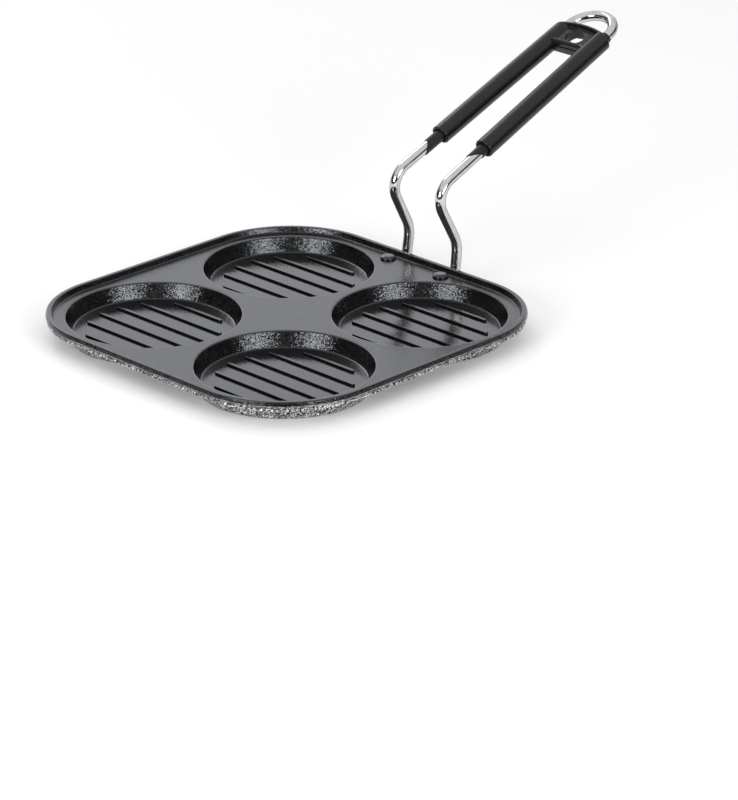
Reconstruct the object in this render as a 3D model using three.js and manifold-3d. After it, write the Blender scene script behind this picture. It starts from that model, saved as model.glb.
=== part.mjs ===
// Uttapam pan: a rounded-square pan with four ribbed wells and a long wire handle with a moulded grip.
// Millimetres, +Z up. The pan stands on z = 0 and the handle points along +Y.

import * as THREE from "three";
import { mergeVertices } from "three/addons/utils/BufferGeometryUtils.js";
import Module from "manifold-3d";

// Pan
const sheet = 2.6;
const wellRadius = 48.8;
const wellDepth = 8.8;
const wellDraft = 3.6;
const wellGap = 6.4;
const wellEdgeRound = 0.9;
const wellFloorFillet = 1.2;
const wellBaseRound = 1.6;
const flangeMargin = 10.2;
const rimHeight = 3.1;
const rimLipWidth = 3.1;
const rimOuterRound = 0.8;
const rimInnerRound = 0.7;
const rimWallRun = 1.4;
const rimSkirtRun = 2;
const rimCornerRadius = 57;
const ribsPerWell = 6;
const ribPitch = 13.3;
const ribWidth = 2.2;
const ribHeight = 1.2;
const ribEndInset = 6.8;

// Rivets
const rivetSpacing = 41.6;
const rivetInset = 9.8;
const rivetHeadRadius = 4.6;
const rivetHeadHeight = 1.9;
const rivetHeadEdge = 0.5;
const rivetShankRadius = 2.2;
const rivetTailRadius = 3.1;
const rivetTailTipRadius = 2.2;
const rivetTailHeight = 1.3;

// Wire
const wireRadius = 3;
const padWidth = 11;
const padThickness = 2.6;
const rimSpacing = 38.8;
const bendSpacing = 35.8;
const riseLean = 2.7;
const lowBendHeight = 15.4;
const highBendHeight = 49.5;
const highBendBack = 12.6;
const footBendRadius = 5;
const lowBendRadius = 17;
const highBendRadius = 12.5;
const loopRadius = 15.1;
const loopBeyondGrip = 0.43;

// Grip, measured along the wire's legs from the high bend
const gripAngle = THREE.MathUtils.degToRad(21.8);
const gripStart = 44.5;
const gripLength = 114.4;
const gripSideWall = 2.25;
const gripTopWall = 1.7;
const gripEndBow = 4.5;
const gripMouthRound = 0.8;
const mouthDepth = 2.6;
const mouthRelief = 0.6;
const bridgeThickness = 10.2;
const bridgeHoleRadius = 6.4;
const bridgeLand = 3.2;
const panelDepth = 2.2;
const panelLip = 2;

// Sleeves
const sleeveWall = 0.4;
const sleeveLeft = { tail: 11, slant: 1.5, head: 0.8 };
const sleeveRight = { tail: 7.5, slant: 0.8, head: 1.6 };

// Clearances
const seatGap = 0.1;
const rimGap = 0.3;
const holeGap = 0.15;
const sleeveGap = 0.15;
const boreGap = 0.3;

// Facets
const cornerSteps = 10;
const wellSides = 40;
const rivetSides = 20;
const wireSides = 12;
const boreSides = 20;
const legSides = 20;
const bendSteps = 6;
const loopSteps = 7;
const padSteps = 4;
const ribSides = 8;
const ribCapSteps = 3;
const roundSteps = 3;
const bowSteps = 8;

// Worked out from the sizes above
const wellOffset = wellRadius + wellGap / 2;
const panHalf = wellOffset + wellRadius + flangeMargin;
const flangeTop = wellDepth + sheet;
const flangeUnder = flangeTop - sheet;
const rivetX = rivetSpacing / 2;
const rivetY = panHalf - rivetInset;
const wireTop = flangeUnder - seatGap;
const riseY = panHalf + rimGap + wireRadius;
const padFlatEnd = rivetY + rivetTailRadius + seatGap;
const padDrawEnd = riseY - footBendRadius;
const highBendY = panHalf - highBendBack;
const highBendZ = flangeTop + highBendHeight;
const gripEnd = gripStart + gripLength;
const loopCentre = gripEnd + loopBeyondGrip;
const legX = bendSpacing / 2;
const legTaper = Math.acos(loopRadius / Math.hypot(legX, loopCentre)) - Math.atan2(loopCentre, legX);
const sleeveInner = wireRadius + sleeveGap;
const sleeveOuter = sleeveInner + sleeveWall;
const boreRadius = sleeveOuter + boreGap;
const legHalfWidth = boreRadius + gripSideWall;
const legHalfHeight = boreRadius + gripTopWall;
const bridgeLength = 2 * (bridgeHoleRadius + bridgeLand);
const bridgeStart = gripEnd - bridgeLength;

// How far a cutting body reaches past what it cuts
const past = 5;

// How close two points are when they count as one
const weld = 1e-4;

// Squareness of an oval section: 2 is an ellipse
const roundPower = 2;
const legPower = 2.2;
const padPower = 6;

const wasm = await Module();
wasm.setup();

// Solids: joining and cutting

function toSolid(geometry) {
  const bare = geometry.clone();
  bare.deleteAttribute("normal");
  bare.deleteAttribute("uv");
  const merged = mergeVertices(bare, weld);
  const index = merged.index.array;
  const triVerts = [];
  for (let i = 0; i < index.length; i += 3) {
    const [a, b, c] = index.slice(i, i + 3);
    if (a !== b && b !== c && c !== a) {
      triVerts.push(a, b, c);
    }
  }
  const vertProperties = new Float32Array(merged.attributes.position.array);
  const mesh = new wasm.Mesh({ numProp: 3, vertProperties, triVerts: new Uint32Array(triVerts) });
  return new wasm.Manifold(mesh);
}

function toGeometry(solid) {
  const { numProp, vertProperties, triVerts } = solid.getMesh();
  const position = [];
  for (let i = 0; i < vertProperties.length; i += numProp) {
    position.push(vertProperties[i], vertProperties[i + 1], vertProperties[i + 2]);
  }
  const geometry = new THREE.BufferGeometry();
  geometry.setAttribute("position", new THREE.Float32BufferAttribute(position, 3));
  geometry.setIndex(Array.from(triVerts));
  geometry.computeVertexNormals();
  return geometry;
}

// Shapes

function revolve(profile, sides) {
  const points = profile.map(([r, z]) => new THREE.Vector2(r, z));
  return new THREE.LatheGeometry(points, sides).rotateX(Math.PI / 2);
}

// Points of a round corner in a profile, from one angle to another, both in quarter turns.
function arc([r, z], radius, from, to, steps = roundSteps) {
  const points = [];
  for (let i = 0; i <= steps; i++) {
    const angle = (from + ((to - from) * i) / steps) * (Math.PI / 2);
    points.push([r + radius * Math.cos(angle), z + radius * Math.sin(angle)]);
  }
  return points;
}

// A closed body through a row of rings with the same number of points, capped at both ends.
function loft(rings) {
  const sides = rings[0].length;
  const position = rings.flat().flatMap((p) => [p.x, p.y, p.z]);
  const index = [];
  for (let k = 0; k < rings.length - 1; k++) {
    for (let i = 0; i < sides; i++) {
      const a = k * sides + i;
      const b = k * sides + ((i + 1) % sides);
      index.push(a, b, a + sides, b, b + sides, a + sides);
    }
  }
  const last = (rings.length - 1) * sides;
  for (let i = 1; i < sides - 1; i++) {
    index.push(0, i + 1, i);
    index.push(last, last + i, last + i + 1);
  }
  const geometry = new THREE.BufferGeometry();
  geometry.setAttribute("position", new THREE.Float32BufferAttribute(position, 3));
  geometry.setIndex(index);
  geometry.computeVertexNormals();
  return geometry;
}

// One point of an oval: power 2 is an ellipse, a higher power is squarer.
function oval(angle, halfWidth, halfHeight, power) {
  const c = Math.cos(angle);
  const s = Math.sin(angle);
  return [
    halfWidth * Math.sign(c) * Math.abs(c) ** (2 / power),
    halfHeight * Math.sign(s) * Math.abs(s) ** (2 / power),
  ];
}

// Pan

function rimRing(inset, z) {
  const centre = panHalf - rimCornerRadius;
  const radius = rimCornerRadius - inset;
  const ring = [];
  for (let corner = 0; corner < 4; corner++) {
    const turn = (corner * Math.PI) / 2;
    const cx = centre * Math.SQRT2 * Math.cos(turn + Math.PI / 4);
    const cy = centre * Math.SQRT2 * Math.sin(turn + Math.PI / 4);
    for (let i = 0; i <= cornerSteps; i++) {
      const angle = turn + ((i / cornerSteps) * Math.PI) / 2;
      ring.push(new THREE.Vector3(cx + radius * Math.cos(angle), cy + radius * Math.sin(angle), z));
    }
  }
  return ring;
}

// The rim in section, from the underside round the skirt and the lip to the flange.
function tray() {
  const rimTop = flangeTop + rimHeight;
  const skirt = new THREE.QuadraticBezierCurve(
    new THREE.Vector2(rimSkirtRun, flangeUnder),
    new THREE.Vector2(0, flangeUnder),
    new THREE.Vector2(0, flangeTop),
  );
  const outerEdge = arc([rimOuterRound, rimTop - rimOuterRound], rimOuterRound, 2, 1);
  const innerEdge = arc([rimLipWidth - rimInnerRound, rimTop - rimInnerRound], rimInnerRound, 1, 0);
  const section = [
    ...skirt.getPoints(roundSteps).map((p) => [p.x, p.y]),
    ...outerEdge,
    ...innerEdge,
    [rimLipWidth + rimWallRun, flangeTop],
  ];
  return loft(section.map(([inset, z]) => rimRing(inset, z)));
}

// The hollow of a well, from its floor to above the flange.
function wellHollow() {
  const floorZ = flangeTop - wellDepth;
  const floorRadius = wellRadius - wellDraft;
  return revolve(
    [
      [0, floorZ],
      ...arc([floorRadius - wellFloorFillet, floorZ + wellFloorFillet], wellFloorFillet, -1, 0),
      ...arc([wellRadius + wellEdgeRound, flangeTop - wellEdgeRound], wellEdgeRound, 2, 1),
      [wellRadius + wellEdgeRound, flangeTop + past],
      [0, flangeTop + past],
    ],
    wellSides,
  );
}

// The outside of a well, from the base it stands on up into the flange.
function wellCup() {
  const baseRadius = wellRadius - wellDraft + sheet;
  return revolve(
    [
      [0, 0],
      ...arc([baseRadius - wellBaseRound, wellBaseRound], wellBaseRound, -1, 0),
      [wellRadius + sheet, flangeUnder],
      [wellRadius + sheet, flangeUnder + sheet / 2],
      [0, flangeUnder + sheet / 2],
    ],
    wellSides,
  );
}

// Raised ribs run across a well, with their round ends on a circle inside the floor's edge.
function ribs() {
  const floorZ = flangeTop - wellDepth;
  const reach = wellRadius - wellDraft - ribEndInset;
  const found = [];
  for (let i = 0; i < ribsPerWell; i++) {
    const y = (i - (ribsPerWell - 1) / 2) * ribPitch;
    const half = Math.sqrt(Math.max(reach ** 2 - y ** 2, 0));
    if (half > ribWidth) {
      const rib = new THREE.CapsuleGeometry(1, (2 * half) / ribWidth * 2 - 2, ribCapSteps, ribSides);
      rib.rotateZ(Math.PI / 2);
      rib.scale(ribWidth / 2, ribWidth / 2, ribHeight);
      found.push(rib.translate(0, y, floorZ));
    }
  }
  return found;
}

function panBody() {
  let body = toSolid(tray());
  const centres = [-1, 1].flatMap((sx) => [-1, 1].map((sy) => [sx * wellOffset, sy * wellOffset]));
  for (const [x, y] of centres) {
    body = body.add(toSolid(wellCup().translate(x, y, 0)));
  }
  for (const [x, y] of centres) {
    body = body.subtract(toSolid(wellHollow().translate(x, y, 0)));
    for (const rib of ribs()) {
      body = body.add(toSolid(rib.translate(x, y, 0)));
    }
  }
  for (const side of [-1, 1]) {
    body = body.subtract(toSolid(rivetHole(side)));
  }
  return toGeometry(body);
}

// Rivets

function rivetHole(side) {
  const radius = rivetShankRadius + holeGap;
  const hole = new THREE.CylinderGeometry(radius, radius, flangeTop + past, rivetSides);
  return hole.rotateX(Math.PI / 2).translate(side * rivetX, rivetY, (flangeTop + past) / 2);
}

function rivet() {
  const headFoot = flangeTop + seatGap;
  const tailTop = wireTop - padThickness - seatGap;
  const dome = rivetHeadHeight - rivetHeadEdge;
  const head = [];
  for (let i = 0; i <= roundSteps; i++) {
    const angle = ((i / (roundSteps + 1)) * Math.PI) / 2;
    head.push([rivetHeadRadius * Math.cos(angle), headFoot + rivetHeadEdge + dome * Math.sin(angle)]);
  }
  return revolve(
    [
      [0, tailTop - rivetTailHeight],
      [rivetTailTipRadius, tailTop - rivetTailHeight],
      [rivetTailRadius, tailTop - rivetTailHeight / 2],
      [rivetTailRadius, tailTop],
      [rivetShankRadius, tailTop],
      [rivetShankRadius, headFoot],
      [rivetHeadRadius, headFoot],
      ...head,
      [0, headFoot + rivetHeadHeight],
    ],
    rivetSides,
  );
}

// Wire

// From the handle's own axes, across, along and above the legs, to the pan's axes.
function onHandle(x, along, above) {
  const y = highBendY + along * Math.cos(gripAngle) - above * Math.sin(gripAngle);
  const z = highBendZ + along * Math.sin(gripAngle) + above * Math.cos(gripAngle);
  return new THREE.Vector3(x, y, z);
}

// The corners of a path, each rounded to its radius.
function rounded(corners, radii) {
  const path = [corners[0]];
  for (let i = 1; i < corners.length - 1; i++) {
    const back = corners[i - 1].clone().sub(corners[i]).normalize();
    const on = corners[i + 1].clone().sub(corners[i]).normalize();
    const half = back.angleTo(on) / 2;
    const middle = back.clone().add(on).normalize();
    const centre = corners[i].clone().addScaledVector(middle, radii[i - 1] / Math.sin(half));
    const side = back.clone().sub(on).normalize();
    const sweep = Math.PI / 2 - half;
    for (let k = 0; k <= bendSteps; k++) {
      const angle = sweep * (1 - (2 * k) / bendSteps);
      const point = centre.clone().addScaledVector(middle, -radii[i - 1] * Math.cos(angle));
      path.push(point.addScaledVector(side, radii[i - 1] * Math.sin(angle)));
    }
  }
  path.push(corners.at(-1));
  return path;
}

function wireRing(centre, across, above, halfWidth, halfHeight, power) {
  const ring = [];
  for (let i = 0; i < wireSides; i++) {
    const [a, b] = oval(((i + 0.5) / wireSides) * 2 * Math.PI, halfWidth, halfHeight, power);
    ring.push(centre.clone().addScaledVector(across, a).addScaledVector(above, -b));
  }
  return ring;
}

// The flattened end under the flange, widening to the rivet and then drawn in to the round wire.
function padRings() {
  const across = new THREE.Vector3(1, 0, 0);
  const up = new THREE.Vector3(0, 0, 1);
  const flat = padThickness / 2;
  const padHalf = padWidth / 2;
  const rings = [];
  for (let i = 1; i <= padSteps; i++) {
    const angle = ((i / padSteps) * Math.PI) / 2;
    const centre = new THREE.Vector3(-rivetX, rivetY - padHalf * Math.cos(angle), wireTop - flat);
    rings.push(wireRing(centre, across, up, padHalf * Math.sin(angle), flat, padPower));
  }
  for (let i = 0; i < padSteps; i++) {
    const share = i / padSteps;
    const ease = THREE.MathUtils.smoothstep(share, 0, 1);
    const halfHeight = THREE.MathUtils.lerp(flat, wireRadius, ease);
    const halfWidth = THREE.MathUtils.lerp(padHalf, wireRadius, ease);
    const y = THREE.MathUtils.lerp(padFlatEnd, padDrawEnd, share);
    const centre = new THREE.Vector3(-rivetX, y, wireTop - halfHeight);
    const power = THREE.MathUtils.lerp(padPower, roundPower, ease);
    rings.push(wireRing(centre, across, up, halfWidth, halfHeight, power));
  }
  return rings;
}

// The left half of the wire from its pad to the loop's far point. The right half mirrors it.
function handleWire() {
  const above = new THREE.Vector3(0, -Math.sin(gripAngle), Math.cos(gripAngle));
  const wireZ = wireTop - wireRadius;
  const lowBendZ = flangeTop + lowBendHeight;
  const rise = (lowBendZ - wireZ) / (highBendZ - wireZ);
  const loopEnter = onHandle(
    -loopRadius * Math.cos(legTaper),
    loopCentre + loopRadius * Math.sin(legTaper),
    0,
  );
  const corners = [
    new THREE.Vector3(-rivetX, padDrawEnd, wireZ),
    new THREE.Vector3(-rimSpacing / 2, riseY, wireZ),
    new THREE.Vector3(-THREE.MathUtils.lerp(rimSpacing / 2, legX, rise), riseY + riseLean, lowBendZ),
    onHandle(-legX, 0, 0),
    loopEnter,
  ];
  const path = rounded(corners, [footBendRadius, lowBendRadius, highBendRadius]);
  for (let i = 1; i <= loopSteps; i++) {
    const angle = THREE.MathUtils.lerp(Math.PI - legTaper, Math.PI / 2, i / loopSteps);
    path.push(onHandle(loopRadius * Math.cos(angle), loopCentre + loopRadius * Math.sin(angle), 0));
  }
  const rings = padRings();
  path.forEach((point, i) => {
    const before = path[Math.max(i - 1, 0)];
    const after = path[i + 1] ?? new THREE.Vector3(-before.x, before.y, before.z);
    const tangent = after.clone().sub(before).normalize();
    const across = i >= path.length - loopSteps - 1
      ? new THREE.Vector3().crossVectors(tangent, above)
      : new THREE.Vector3(1, 0, 0).addScaledVector(tangent, -tangent.x).normalize();
    const up = new THREE.Vector3().crossVectors(across, tangent);
    rings.push(wireRing(point, across, up, wireRadius, wireRadius, roundPower));
  });
  const mirrored = rings.slice(0, -1).reverse();
  const right = mirrored.map((ring) => ring.map((p) => new THREE.Vector3(-p.x, p.y, p.z)));
  let wire = toSolid(loft([...rings, ...right]));
  for (const side of [-1, 1]) {
    wire = wire.subtract(toSolid(rivetHole(side)));
  }
  return toGeometry(wire);
}

// Grip, in the handle's own axes: x across, y along the legs, z above them

function alongLeg(geometry, side) {
  return geometry.rotateZ(side * legTaper).translate(side * legX, 0, 0);
}

function legRing(y, inset) {
  const ring = [];
  for (let i = 0; i < legSides; i++) {
    const angle = (i / legSides) * 2 * Math.PI;
    const [x, z] = oval(angle, legHalfWidth - inset, legHalfHeight - inset, legPower);
    ring.push(new THREE.Vector3(x, y, -z));
  }
  return ring;
}

function legBar() {
  const mouth = arc([gripStart + gripMouthRound, gripMouthRound], gripMouthRound, -2, -1);
  const rings = mouth.map(([y, depth]) => legRing(y, depth));
  return loft([...rings, legRing(gripEnd + past, 0)]);
}

function cylinderAlong(radius, from, to, sides) {
  return new THREE.CylinderGeometry(radius, radius, to - from, sides).translate(0, (from + to) / 2, 0);
}

function slab(shape, from, to) {
  const options = { depth: to - from, bevelEnabled: false, curveSegments: bowSteps };
  return new THREE.ExtrudeGeometry(shape, options).translate(0, 0, from);
}

// Half the distance between the legs at a place along them.
function legAt(y) {
  return legX - y * Math.tan(legTaper);
}

// The bow of the grip's far end at a distance from its middle.
function bowAt(x) {
  return gripEndBow * (x / (legAt(gripEnd) + legHalfWidth)) ** 2;
}

// A plan outline with a straight lower edge and a far edge with the grip's bow.
function bowedPlan(halfWidth, from, end) {
  const bow = bowAt(halfWidth);
  const shape = new THREE.Shape();
  shape.moveTo(-halfWidth, from);
  shape.lineTo(halfWidth, from);
  shape.lineTo(halfWidth, end - bow);
  shape.quadraticCurveTo(0, end + bow, -halfWidth, end - bow);
  shape.closePath();
  return shape;
}

function grip() {
  const bridgeHalf = bridgeThickness / 2;
  const bridge = bowedPlan(legAt(gripEnd), bridgeStart, gripEnd);
  const trim = bowedPlan(legX + legHalfWidth + past, 0, gripEnd);
  const panel = bowedPlan(legAt(gripEnd) - legHalfWidth, bridgeStart + panelLip, gripEnd - panelLip);
  const hole = cylinderAlong(bridgeHoleRadius, -bridgeHalf - past, bridgeHalf + past, boreSides);
  hole.rotateX(Math.PI / 2).translate(0, bridgeStart + bridgeLength / 2, 0);
  let body = toSolid(slab(bridge, -bridgeHalf, bridgeHalf));
  for (const side of [-1, 1]) {
    body = body.add(toSolid(alongLeg(legBar(), side)));
  }
  body = body.intersect(toSolid(slab(trim, -legHalfHeight - past, legHalfHeight + past)));
  body = body.subtract(toSolid(slab(panel, bridgeHalf - panelDepth, legHalfHeight + past)));
  body = body.subtract(toSolid(slab(panel, -legHalfHeight - past, panelDepth - bridgeHalf)));
  body = body.subtract(toSolid(hole));
  for (const side of [-1, 1]) {
    const bore = cylinderAlong(boreRadius, 0, gripEnd + past, boreSides);
    const mouth = cylinderAlong(boreRadius + mouthRelief, 0, gripStart + mouthDepth, boreSides);
    body = body.subtract(toSolid(alongLeg(bore, side)));
    body = body.subtract(toSolid(alongLeg(mouth, side)));
  }
  return toGeometry(body);
}

// A thin tube on one leg, its lower end cut on a slant that is longest on the inner side.
function sleeve(side, { tail, slant, head }) {
  const low = gripStart - tail;
  const high = gripEnd - bowAt(legAt(gripEnd)) + head;
  const ringAt = (radius, end, lean) => {
    const ring = [];
    for (let i = 0; i < boreSides; i++) {
      const angle = (i / boreSides) * 2 * Math.PI;
      const x = radius * Math.cos(angle);
      ring.push(new THREE.Vector3(x, end + side * lean * x, -radius * Math.sin(angle)));
    }
    return ring;
  };
  const rings = [
    ringAt(sleeveOuter, low, slant),
    ringAt(sleeveOuter, high, 0),
    ringAt(sleeveInner, high, 0),
    ringAt(sleeveInner, low, slant),
  ];
  return alongLeg(closedTube(rings), side);
}

// A body whose rings run round and close on the first one.
function closedTube(rings) {
  const sides = rings[0].length;
  const index = [];
  rings.forEach((_, k) => {
    const here = k * sides;
    const next = ((k + 1) % rings.length) * sides;
    for (let i = 0; i < sides; i++) {
      const j = (i + 1) % sides;
      index.push(here + i, here + j, next + i, here + j, next + j, next + i);
    }
  });
  const geometry = new THREE.BufferGeometry();
  const position = rings.flat().flatMap((p) => [p.x, p.y, p.z]);
  geometry.setAttribute("position", new THREE.Float32BufferAttribute(position, 3));
  geometry.setIndex(index);
  geometry.computeVertexNormals();
  return geometry;
}

// Assembly

const finishes = {
  coat: { color: "#2c2d30", roughness: 0.42, metalness: 0.1 },
  wire: { color: "#c9cbce", roughness: 0.14, metalness: 1 },
  moulding: { color: "#262626", roughness: 0.4, metalness: 0 },
  tube: { color: "#1d1d1e", roughness: 0.5, metalness: 0 },
  rivet: { color: "#2a2b2e", roughness: 0.38, metalness: 0.2 },
};

function piece(name, geometry, finish) {
  const mesh = new THREE.Mesh(geometry, new THREE.MeshStandardMaterial(finishes[finish]));
  mesh.name = name;
  return mesh;
}

const pan = new THREE.Group();
pan.add(piece("pan_body", panBody(), "coat"));
pan.add(piece("handle_wire", handleWire(), "wire"));

for (const [name, side] of [["rivet_left", -1], ["rivet_right", 1]]) {
  const head = piece(name, rivet(), "rivet");
  head.position.set(side * rivetX, rivetY, 0);
  pan.add(head);
}

const handle = new THREE.Group();
handle.position.set(0, highBendY, highBendZ);
handle.rotation.x = gripAngle;
handle.add(piece("grip", grip(), "moulding"));
handle.add(piece("sleeve_left", sleeve(-1, sleeveLeft), "tube"));
handle.add(piece("sleeve_right", sleeve(1, sleeveRight), "tube"));
pan.add(handle);

// The origin is under the middle of the whole object, on the surface it stands on.
const object = new THREE.Group();
object.add(pan);
const box = new THREE.Box3().setFromObject(object, true);
pan.position.y = -(box.min.y + box.max.y) / 2;

export default object;
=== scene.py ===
import math

import bmesh
import bpy
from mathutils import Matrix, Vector


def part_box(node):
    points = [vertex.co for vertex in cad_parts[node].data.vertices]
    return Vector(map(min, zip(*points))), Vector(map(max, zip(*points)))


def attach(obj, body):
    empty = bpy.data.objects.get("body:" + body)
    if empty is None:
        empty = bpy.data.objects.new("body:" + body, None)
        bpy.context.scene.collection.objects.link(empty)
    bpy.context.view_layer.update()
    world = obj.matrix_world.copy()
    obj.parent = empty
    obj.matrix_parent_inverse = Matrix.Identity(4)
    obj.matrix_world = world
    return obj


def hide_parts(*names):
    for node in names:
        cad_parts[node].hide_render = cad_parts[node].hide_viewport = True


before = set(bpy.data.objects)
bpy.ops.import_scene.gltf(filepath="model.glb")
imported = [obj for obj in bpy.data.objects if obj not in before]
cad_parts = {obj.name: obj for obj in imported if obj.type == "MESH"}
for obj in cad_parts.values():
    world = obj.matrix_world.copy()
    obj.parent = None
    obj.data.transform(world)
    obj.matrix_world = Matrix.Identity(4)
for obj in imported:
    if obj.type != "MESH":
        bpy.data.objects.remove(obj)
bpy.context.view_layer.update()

# An uttapam pan: a coated pressing with four ribbed wells and a bent-wire handle with a moulded grip.
# Metres, +Z up. The pan stands on z = 0 and the handle points along +Y.

MM = 0.001
UP = Vector((0, 0, 1))

# How far the riveted pieces stay apart
CLEARANCE = 0.1 * MM

# Pan
PAN_LOW, PAN_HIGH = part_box("pan_body")
PAN_HALF = (PAN_HIGH.x - PAN_LOW.x) / 2
PAN_MIDDLE = Vector((0, (PAN_LOW.y + PAN_HIGH.y) / 2, 0))
RIM_TOP = PAN_HIGH.z
RIM_HEIGHT = 3.1 * MM
FLANGE_TOP = RIM_TOP - RIM_HEIGHT
SHEET = 2.6 * MM
FLANGE_UNDER = FLANGE_TOP - SHEET
RIM_LIP = 3.1 * MM
RIM_FOOT = 4.5 * MM
RIM_OUTER_ROUND = 0.8 * MM
RIM_INNER_ROUND = 0.7 * MM
RIM_FOOT_ROUND = 0.9 * MM
RIM_CORNER = 57.0 * MM
CORNER_CENTRE = PAN_HALF - RIM_CORNER

# The rim's outer face leans in above its edge, and a crease and a bead run below the edge
RIM_LEAN = 0.55 * MM
RIM_EDGE = RIM_TOP - 2.2 * MM
RIM_EDGE_ROUND = 0.3 * MM
CREASE_INSET = 1.7 * MM
CREASE_HEIGHT = FLANGE_UNDER + 1.6 * MM
CREASE_ROUND = 0.3 * MM
BEAD_INSET = 0.8 * MM
BEAD_HEIGHT = FLANGE_UNDER + 0.75 * MM
BEAD_ROUND = 0.45 * MM
FLANGE_REACH = 3 * MM

# A face of the tray is on its outside where its normal leans this much outwards or down
OUTWARD = 0.2
DOWNWARD = 0.5

# Wells
FLANGE_MARGIN = 10.2 * MM
WELL_RADIUS = 48.8 * MM
WELL_OFFSET = PAN_HALF - FLANGE_MARGIN - WELL_RADIUS
WELL_FLOOR = SHEET
FLOOR_RADIUS = 45.2 * MM
FLOOR_FILLET = 1.2 * MM
WELL_EDGE_ROUND = 0.9 * MM
WELL_EASE = 1.5 * MM
WELL_EASE_DROP = 0.3 * MM
BASE_ROUND = 1.6 * MM
RIB_PITCH = 13.3 * MM
RIBS_PER_WELL = 6
RIB_WIDTH = 2.2 * MM
RIB_HEIGHT = 1.2 * MM
RIB_ROUND = 0.3 * MM
RIB_END_ROUND = 0.48 * RIB_WIDTH
RIB_REACH = FLOOR_RADIUS - 6.8 * MM

# The coat is smoother in the wells, up to a fade just below their edges
FADE_LOW = FLANGE_TOP - 0.6 * MM
FADE_HIGH = FLANGE_TOP - 0.2 * MM

# Rivets, with shares of the head's radius
RIVET_X = 20.8 * MM
RIVET_Y = PAN_HALF - 9.8 * MM
RIVET_HOLE = 2.35 * MM
RIVET_SHANK = RIVET_HOLE - 0.15 * MM
HEAD_EDGE = 0.9 * MM
HEAD_EDGE_ROUND = 0.5 * MM
HEAD_CROWN_SHARE = 0.72
HEAD_CROWN_ROUND = 3.0 * MM
TAIL_SHARE = 0.66
TAIL_ROUND = 0.5 * MM

# Wire, from the pan's middle
WIRE_RADIUS = 3.0 * MM
WIRE_TOP = FLANGE_UNDER - CLEARANCE
WIRE_HEIGHT = WIRE_TOP - WIRE_RADIUS
PAD_HALF_WIDTH = 5.5 * MM
PAD_HALF_THICKNESS = 1.3 * MM
PAD_FLAT = 3.2 * MM
RISE_GAP = 0.3 * MM
RISE_Y = PAN_HALF + RISE_GAP + WIRE_RADIUS
RISE_X = 19.4 * MM
RISE_LEAN = 2.7 * MM
LOW_BEND_HEIGHT = FLANGE_TOP + 15.4 * MM
LEG_X = 17.9 * MM
HANDLE_BEND = Vector((0, PAN_HALF - 12.6 * MM, FLANGE_TOP + 49.5 * MM))
HANDLE_ANGLE = math.radians(21.8)
FOOT_BEND = 5.0 * MM
LOW_BEND = 17.0 * MM
HIGH_BEND = 12.5 * MM
LOOP_RADIUS = 15.1 * MM

# The pad from its tip to its neck: distances past the rivet, with shares of its half width and thickness
PAD_STATIONS = [
    (-PAD_HALF_WIDTH, 0.4, 1.0),
    (-0.80 * PAD_HALF_WIDTH, 0.75, 1.0),
    (-0.45 * PAD_HALF_WIDTH, 0.95, 1.0),
    (0, 1.0, 1.0),
    (PAD_FLAT, 1.0, 1.0),
    (PAD_FLAT + 1.2 * MM, 0.86, 1.5),
    (PAD_FLAT + 2.4 * MM, 0.66, 2.05),
]

# Grip, measured along the legs from the handle's bend
GRIP_START = 44.5 * MM
GRIP_END = 158.9 * MM
LOOP_CENTRE = GRIP_END + 0.43 * MM
LEG_TAPER = math.acos(LOOP_RADIUS / math.hypot(LEG_X, LOOP_CENTRE)) - math.atan2(LOOP_CENTRE, LEG_X)
LEG_HALF_WIDTH = 6.1 * MM
LEG_HALF_HEIGHT = 5.55 * MM
LEG_SIDES = 48
LEG_END_X = LEG_X - GRIP_END * math.tan(LEG_TAPER)
LEG_END_ROUND = 1.2 * MM
BORE_RADIUS = 3.85 * MM
MOUTH_RADIUS = 4.3 * MM
MOUTH_DEPTH = 2.6 * MM
MOUTH_ROUND = 0.75 * MM
MOUTH_BEAD = 0.35 * MM
SEAM_HEIGHT = LEG_HALF_HEIGHT * math.sin(2 * math.pi / LEG_SIDES)
SEAM_HALF_WIDTH = 0.55 * MM
SEAM_DEPTH = 1.3 * MM
SEAM_NEAR = 0.05 * MM
OUTER_SEAM_HALF_WIDTH = 0.22 * MM
OUTER_SEAM_DEPTH = 0.3 * MM

# The grip's far end falls back in a bow, and a bridge joins the legs there
END_BOW = 4.5 * MM
END_HALF = LEG_END_X + LEG_HALF_WIDTH
BOW_RADIUS = (END_HALF ** 2 + END_BOW ** 2) / (2 * END_BOW)
BRIDGE_START = 139.7 * MM
SEAM_LEAST_EDGE = BRIDGE_START / 2

# The legs' flat ends and the bridge stay a little inside the bow
LEG_SHY = 0.24 * MM
BRIDGE_SHY = 0.15 * MM

# The bridge's section, with heights from the middle of the legs
RIDGE_TOP = 4.8 * MM
LIP_TOP = 5.5 * MM
LIP_WIDTH = 1.9 * MM
LIP_ROUND = 0.6 * MM
RIDGE_WIDTH = 2.4 * MM
RIDGE_ROUND = 0.5 * MM
CREST_ROUND = 1.8 * MM
PANEL_TOP = 2.9 * MM
PANEL_DRAFT = 0.4 * MM
PANEL_FILLET = 0.7 * MM
HOLE_RADIUS = 6.4 * MM
HOLE_ROUND = 0.4 * MM

# Sleeves. A slant says how much further up the leg the cut is for each unit across and above
SLEEVE_RADIUS = 3.55 * MM
SLEEVE_WALL = 0.4 * MM
SLEEVE_SPARE = 3 * SLEEVE_RADIUS
SLEEVE_TAILS = {"sleeve_left": 12.3 * MM, "sleeve_right": 7.5 * MM}
SLEEVE_SLANTS = {"sleeve_left": (-0.6, 0.6), "sleeve_right": (0.8, -0.75)}
SLEEVE_HEADS = {"sleeve_left": 0.8 * MM, "sleeve_right": 1.6 * MM}

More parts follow.
